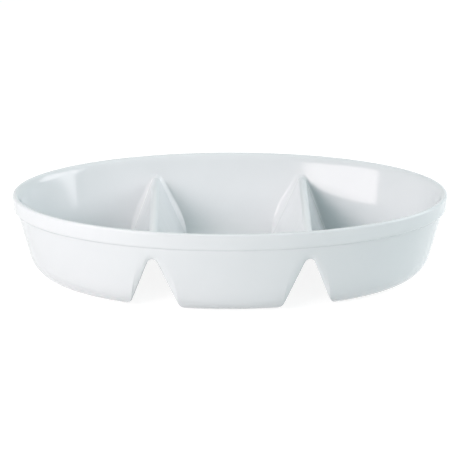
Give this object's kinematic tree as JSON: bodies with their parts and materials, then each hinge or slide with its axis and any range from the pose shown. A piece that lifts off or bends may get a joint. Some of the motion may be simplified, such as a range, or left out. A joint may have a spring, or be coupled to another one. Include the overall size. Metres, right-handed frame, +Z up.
{
  "type": "divided serving bowl",
  "caption": "Oval glazed porcelain serving bowl with a raised rim band, folded hollow dividers between its compartments and unglazed foot rings.",
  "frame": {"origin": "on the table under the middle of the bowl", "axes": "+X along the bowl's length, +Y across it, +Z up out of the compartments"},
  "size_m": [0.3, 0.2, 0.059],
  "materials": {
    "glazed_porcelain": "clear gloss glaze over white porcelain",
    "unglazed_foot": "dry, unglazed and ground flat"
  },
  "bodies": {
    "root": {"rim_band": "glazed_porcelain", "left_pan": "glazed_porcelain", "centre_pan": "glazed_porcelain", "right_pan": "glazed_porcelain", "left_divider": "glazed_porcelain", "right_divider": "glazed_porcelain", "left_foot": "unglazed_foot", "centre_foot": "unglazed_foot", "right_foot": "unglazed_foot"}
  },
  "joints": []
}
